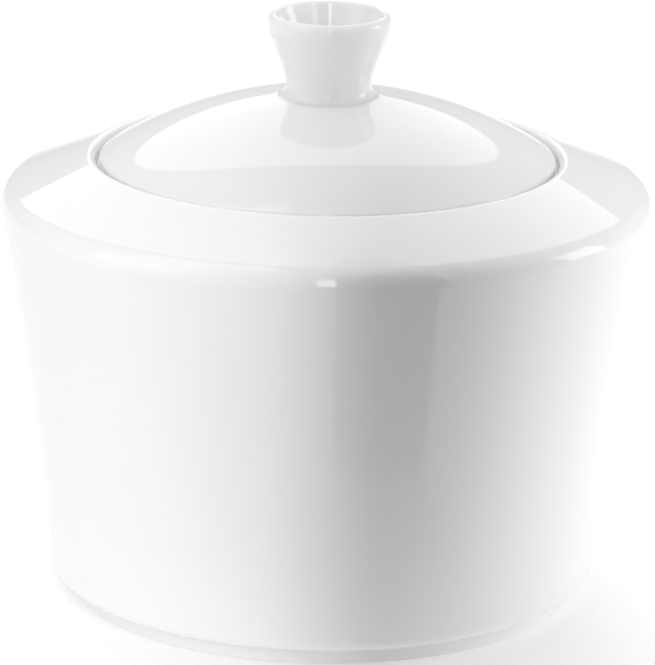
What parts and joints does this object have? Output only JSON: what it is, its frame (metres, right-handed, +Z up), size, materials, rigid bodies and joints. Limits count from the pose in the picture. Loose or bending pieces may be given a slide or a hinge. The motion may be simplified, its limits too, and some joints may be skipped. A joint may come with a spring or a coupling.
{
  "type": "sugar bowl",
  "caption": "Round lidded sugar bowl in white glazed porcelain, with a gently flared wall, sloping shoulder, sunken lid seat and a domed lift-off lid with a hollow flared knob.",
  "frame": {"origin": "centre of the foot ring, on the plane that it stands on", "axes": "+Z up along the axis that the bowl, lid and knob are turned about; X and Y are any two level directions"},
  "size_m": [0.0972, 0.0972, 0.0883],
  "materials": {
    "porcelain": "clear gloss glaze over white porcelain"
  },
  "bodies": {
    "bowl": {"bowl": "porcelain"},
    "lid": {"lid": "porcelain", "lid_knob": "porcelain"}
  },
  "joints": [
    {"name": "lid_lift", "type": "slide", "parent": "bowl", "child": "lid", "axis": [0, 0, 1], "range_m": [0, 0.06]}
  ]
}
